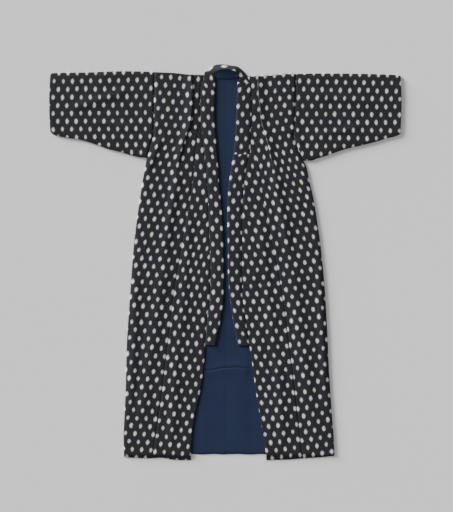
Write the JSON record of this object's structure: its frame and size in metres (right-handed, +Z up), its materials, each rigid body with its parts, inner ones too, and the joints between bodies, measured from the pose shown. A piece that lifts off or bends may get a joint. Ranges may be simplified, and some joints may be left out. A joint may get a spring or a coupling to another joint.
{
  "type": "kimono laid flat",
  "caption": "Lined cotton kimono laid flat, front up and open down the front, with straight sleeves, overlap panels, a long collar band and a back lining that shows between the fronts.",
  "frame": {"origin": "middle of the garment's outline on the surface that it lies on", "axes": "+Y toward the collar, +X toward the sleeve on the right of the picture, +Z up, out of the surface"},
  "size_m": [1.1958, 1.345, 0.0161],
  "materials": {
    "body_left": "matt dark navy cotton with off-white oval dots",
    "body_right": "matt dark navy cotton with off-white oval dots",
    "okumi_left": "matt dark navy cotton with off-white oval dots",
    "okumi_right": "matt dark navy cotton with off-white oval dots",
    "sleeve_left": "matt dark navy cotton with off-white oval dots",
    "sleeve_right": "matt dark navy cotton with off-white oval dots",
    "lining_left": "matt indigo blue cotton",
    "lining_right": "matt indigo blue cotton",
    "collar": "matt dark navy cotton with off-white oval dots",
    "collar_left_end": "matt dark navy cotton with off-white oval dots",
    "collar_right_end": "matt dark navy cotton with off-white oval dots",
    "neck_facing": "matt plain dark navy cotton"
  },
  "bodies": {
    "root": {"body_left": "body_left", "body_right": "body_right", "okumi_left": "okumi_left", "okumi_right": "okumi_right", "sleeve_left": "sleeve_left", "sleeve_right": "sleeve_right", "lining_left": "lining_left", "lining_right": "lining_right", "collar": "collar", "collar_left_end": "collar_left_end", "collar_right_end": "collar_right_end", "neck_facing": "neck_facing"}
  },
  "joints": []
}
